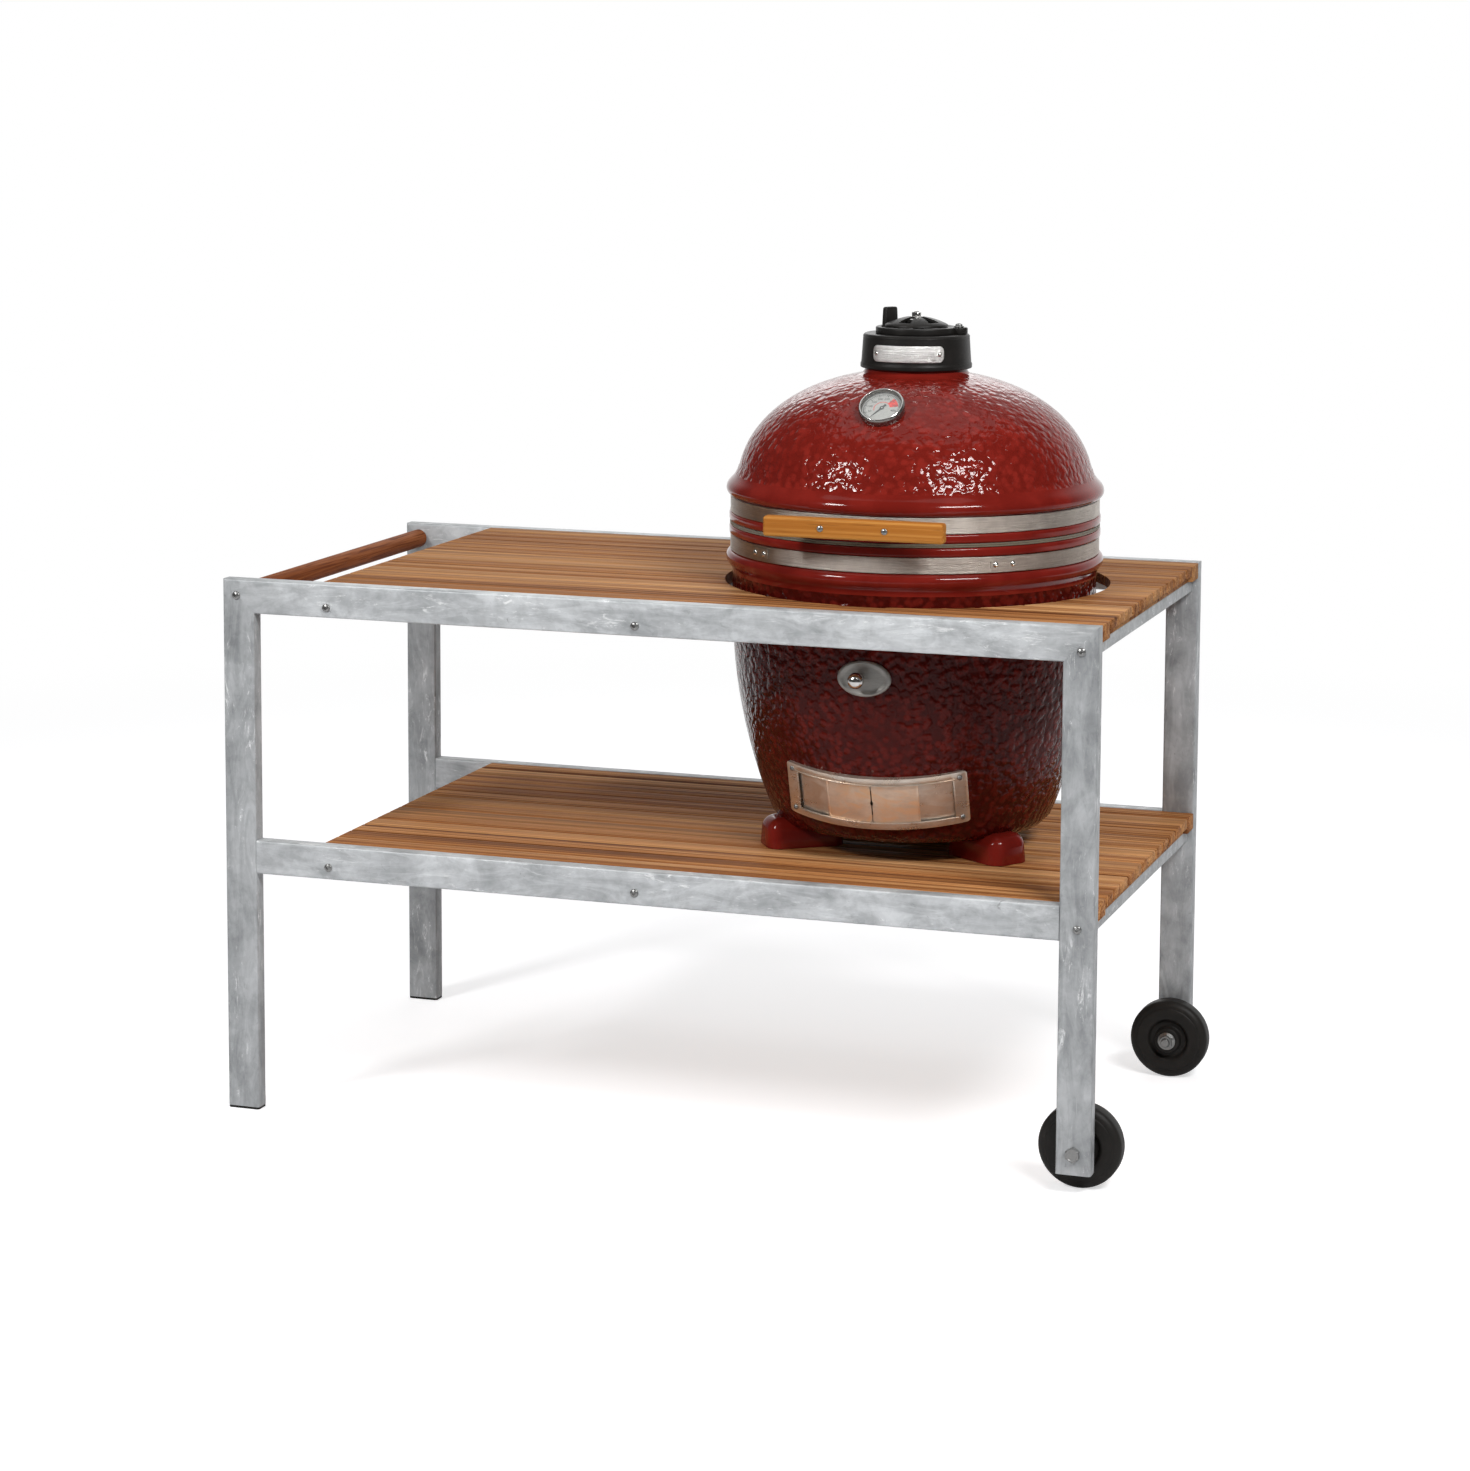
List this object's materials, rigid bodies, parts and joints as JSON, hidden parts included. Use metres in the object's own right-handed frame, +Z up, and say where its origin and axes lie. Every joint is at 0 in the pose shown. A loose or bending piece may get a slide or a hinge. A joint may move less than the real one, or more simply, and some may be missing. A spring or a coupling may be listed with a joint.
{
  "type": "kamado grill table",
  "caption": "Galvanised tube table on feet and wheels with a slatted deck, lower shelf and push bar, and a ceramic kamado grill with a hinged lid.",
  "frame": {"origin": "on the floor, under the middle of the bounding box", "axes": "+X towards the wheels, -Y to the front, +Z up"},
  "size_m": [1.355, 0.7106, 1.2018],
  "materials": {
    "galvanised": "hot-dip galvanised, faint spangle",
    "teak": "oiled",
    "bar_wood": "oiled",
    "bamboo": "lacquered",
    "black_plastic": "moulded",
    "bolt_steel": "zinc plated",
    "red_glaze": "high gloss, dimpled",
    "stainless": "brushed",
    "felt": "felt",
    "cast_iron": "satin black",
    "dial_face": "matt white",
    "clear_glass": "polished",
    "needle_red": "matt",
    "fired_clay": "bare fired clay",
    "spring_steel": "bright wire"
  },
  "bodies": {
    "frame": {"front_left_leg": "galvanised", "front_right_leg": "galvanised", "front_top_rail": "galvanised", "front_lower_rail": "galvanised", "back_left_leg": "galvanised", "back_right_leg": "galvanised", "back_top_rail": "galvanised", "back_lower_rail": "galvanised", "top_left_cross_member": "galvanised", "top_middle_cross_member": "galvanised", "top_right_cross_member": "galvanised", "lower_left_cross_member": "galvanised", "lower_middle_cross_member": "galvanised", "lower_right_cross_member": "galvanised", "top_deck": "teak", "lower_shelf": "teak", "push_bar": "bar_wood", "front_left_foot": "black_plastic", "back_left_foot": "black_plastic", "front_axle_bolt": "bolt_steel", "back_axle_bolt": "bolt_steel", "front_axle_nut": "bolt_steel", "back_axle_nut": "bolt_steel", "hinge_pin": "bolt_steel", "base_shell": "red_glaze", "left_kamado_foot": "red_glaze", "right_kamado_foot": "red_glaze", "back_kamado_foot": "red_glaze", "base_band": "stainless", "base_hinge_bracket": "stainless", "draft_door_frame": "stainless", "cooking_grate": "stainless", "base_gasket": "felt", "charcoal_grate": "cast_iron", "fire_box": "fired_clay", "fire_ring": "fired_clay", "left_hinge_spring": "spring_steel", "right_hinge_spring": "spring_steel"},
    "lid": {"lid_dome": "red_glaze", "lid_band": "stainless", "lid_gasket": "felt", "lid_handle": "bamboo", "left_handle_bracket": "stainless", "right_handle_bracket": "stainless", "lid_hinge_bracket": "stainless", "vent_housing": "cast_iron", "vent_pivot_screw": "bolt_steel", "name_plate": "stainless", "thermometer_case": "stainless", "thermometer_dial": "dial_face", "thermometer_glass": "clear_glass"},
    "vent_swing": {"vent_swing_plate": "cast_iron"},
    "vent_damper": {"vent_damper": "cast_iron"},
    "needle": {"thermometer_needle": "needle_red"},
    "left_draft_door": {"left_draft_door": "stainless"},
    "right_draft_door": {"right_draft_door": "stainless"},
    "feeder": {"feeder_cover": "stainless", "feeder_knob": "bolt_steel"},
    "front_wheel": {"front_wheel": "black_plastic"},
    "back_wheel": {"back_wheel": "black_plastic"}
  },
  "joints": [
    {"name": "lid_hinge", "type": "hinge", "parent": "frame", "child": "lid", "pos_m": [0.2795, 0.326, 0.86], "axis": [-1, 0, 0], "range_deg": [0, 75], "deforming": ["left_hinge_spring", "right_hinge_spring"]},
    {"name": "vent_swing_pivot", "type": "hinge", "parent": "lid", "child": "vent_swing", "pos_m": [0.34221, 0.01404, 1.165], "axis": [0, 0, 1], "range_deg": [0, 90]},
    {"name": "vent_damper_turn", "type": "hinge", "parent": "vent_swing", "child": "vent_damper", "pos_m": [0.2795, 0.008, 1.175], "axis": [0, 0, 1], "range_deg": [0, 36]},
    {"name": "needle_turn", "type": "hinge", "parent": "lid", "child": "needle", "pos_m": [0.2835, -0.18, 1.06868], "axis": [0, 0.6428, -0.766], "range_deg": [0, 250]},
    {"name": "left_draft_slide", "type": "hinge", "parent": "frame", "child": "left_draft_door", "pos_m": [0.2795, -0.00157, 0.57905], "axis": [0, 0.309, -0.9511], "range_deg": [0, 12.5]},
    {"name": "right_draft_slide", "type": "hinge", "parent": "frame", "child": "right_draft_door", "pos_m": [0.2795, -0.00157, 0.57905], "axis": [0, -0.309, 0.9511], "range_deg": [0, 12.5]},
    {"name": "feeder_pull", "type": "slide", "parent": "frame", "child": "feeder", "axis": [0, -1, 0], "range_m": [0, 0.05]},
    {"name": "front_wheel_spin", "type": "hinge", "parent": "frame", "child": "front_wheel", "pos_m": [0.6175, -0.2962, 0.06], "axis": [0, 1, 0], "continuous": true},
    {"name": "back_wheel_spin", "type": "hinge", "parent": "frame", "child": "back_wheel", "pos_m": [0.6175, 0.2962, 0.06], "axis": [0, 1, 0], "continuous": true}
  ]
}
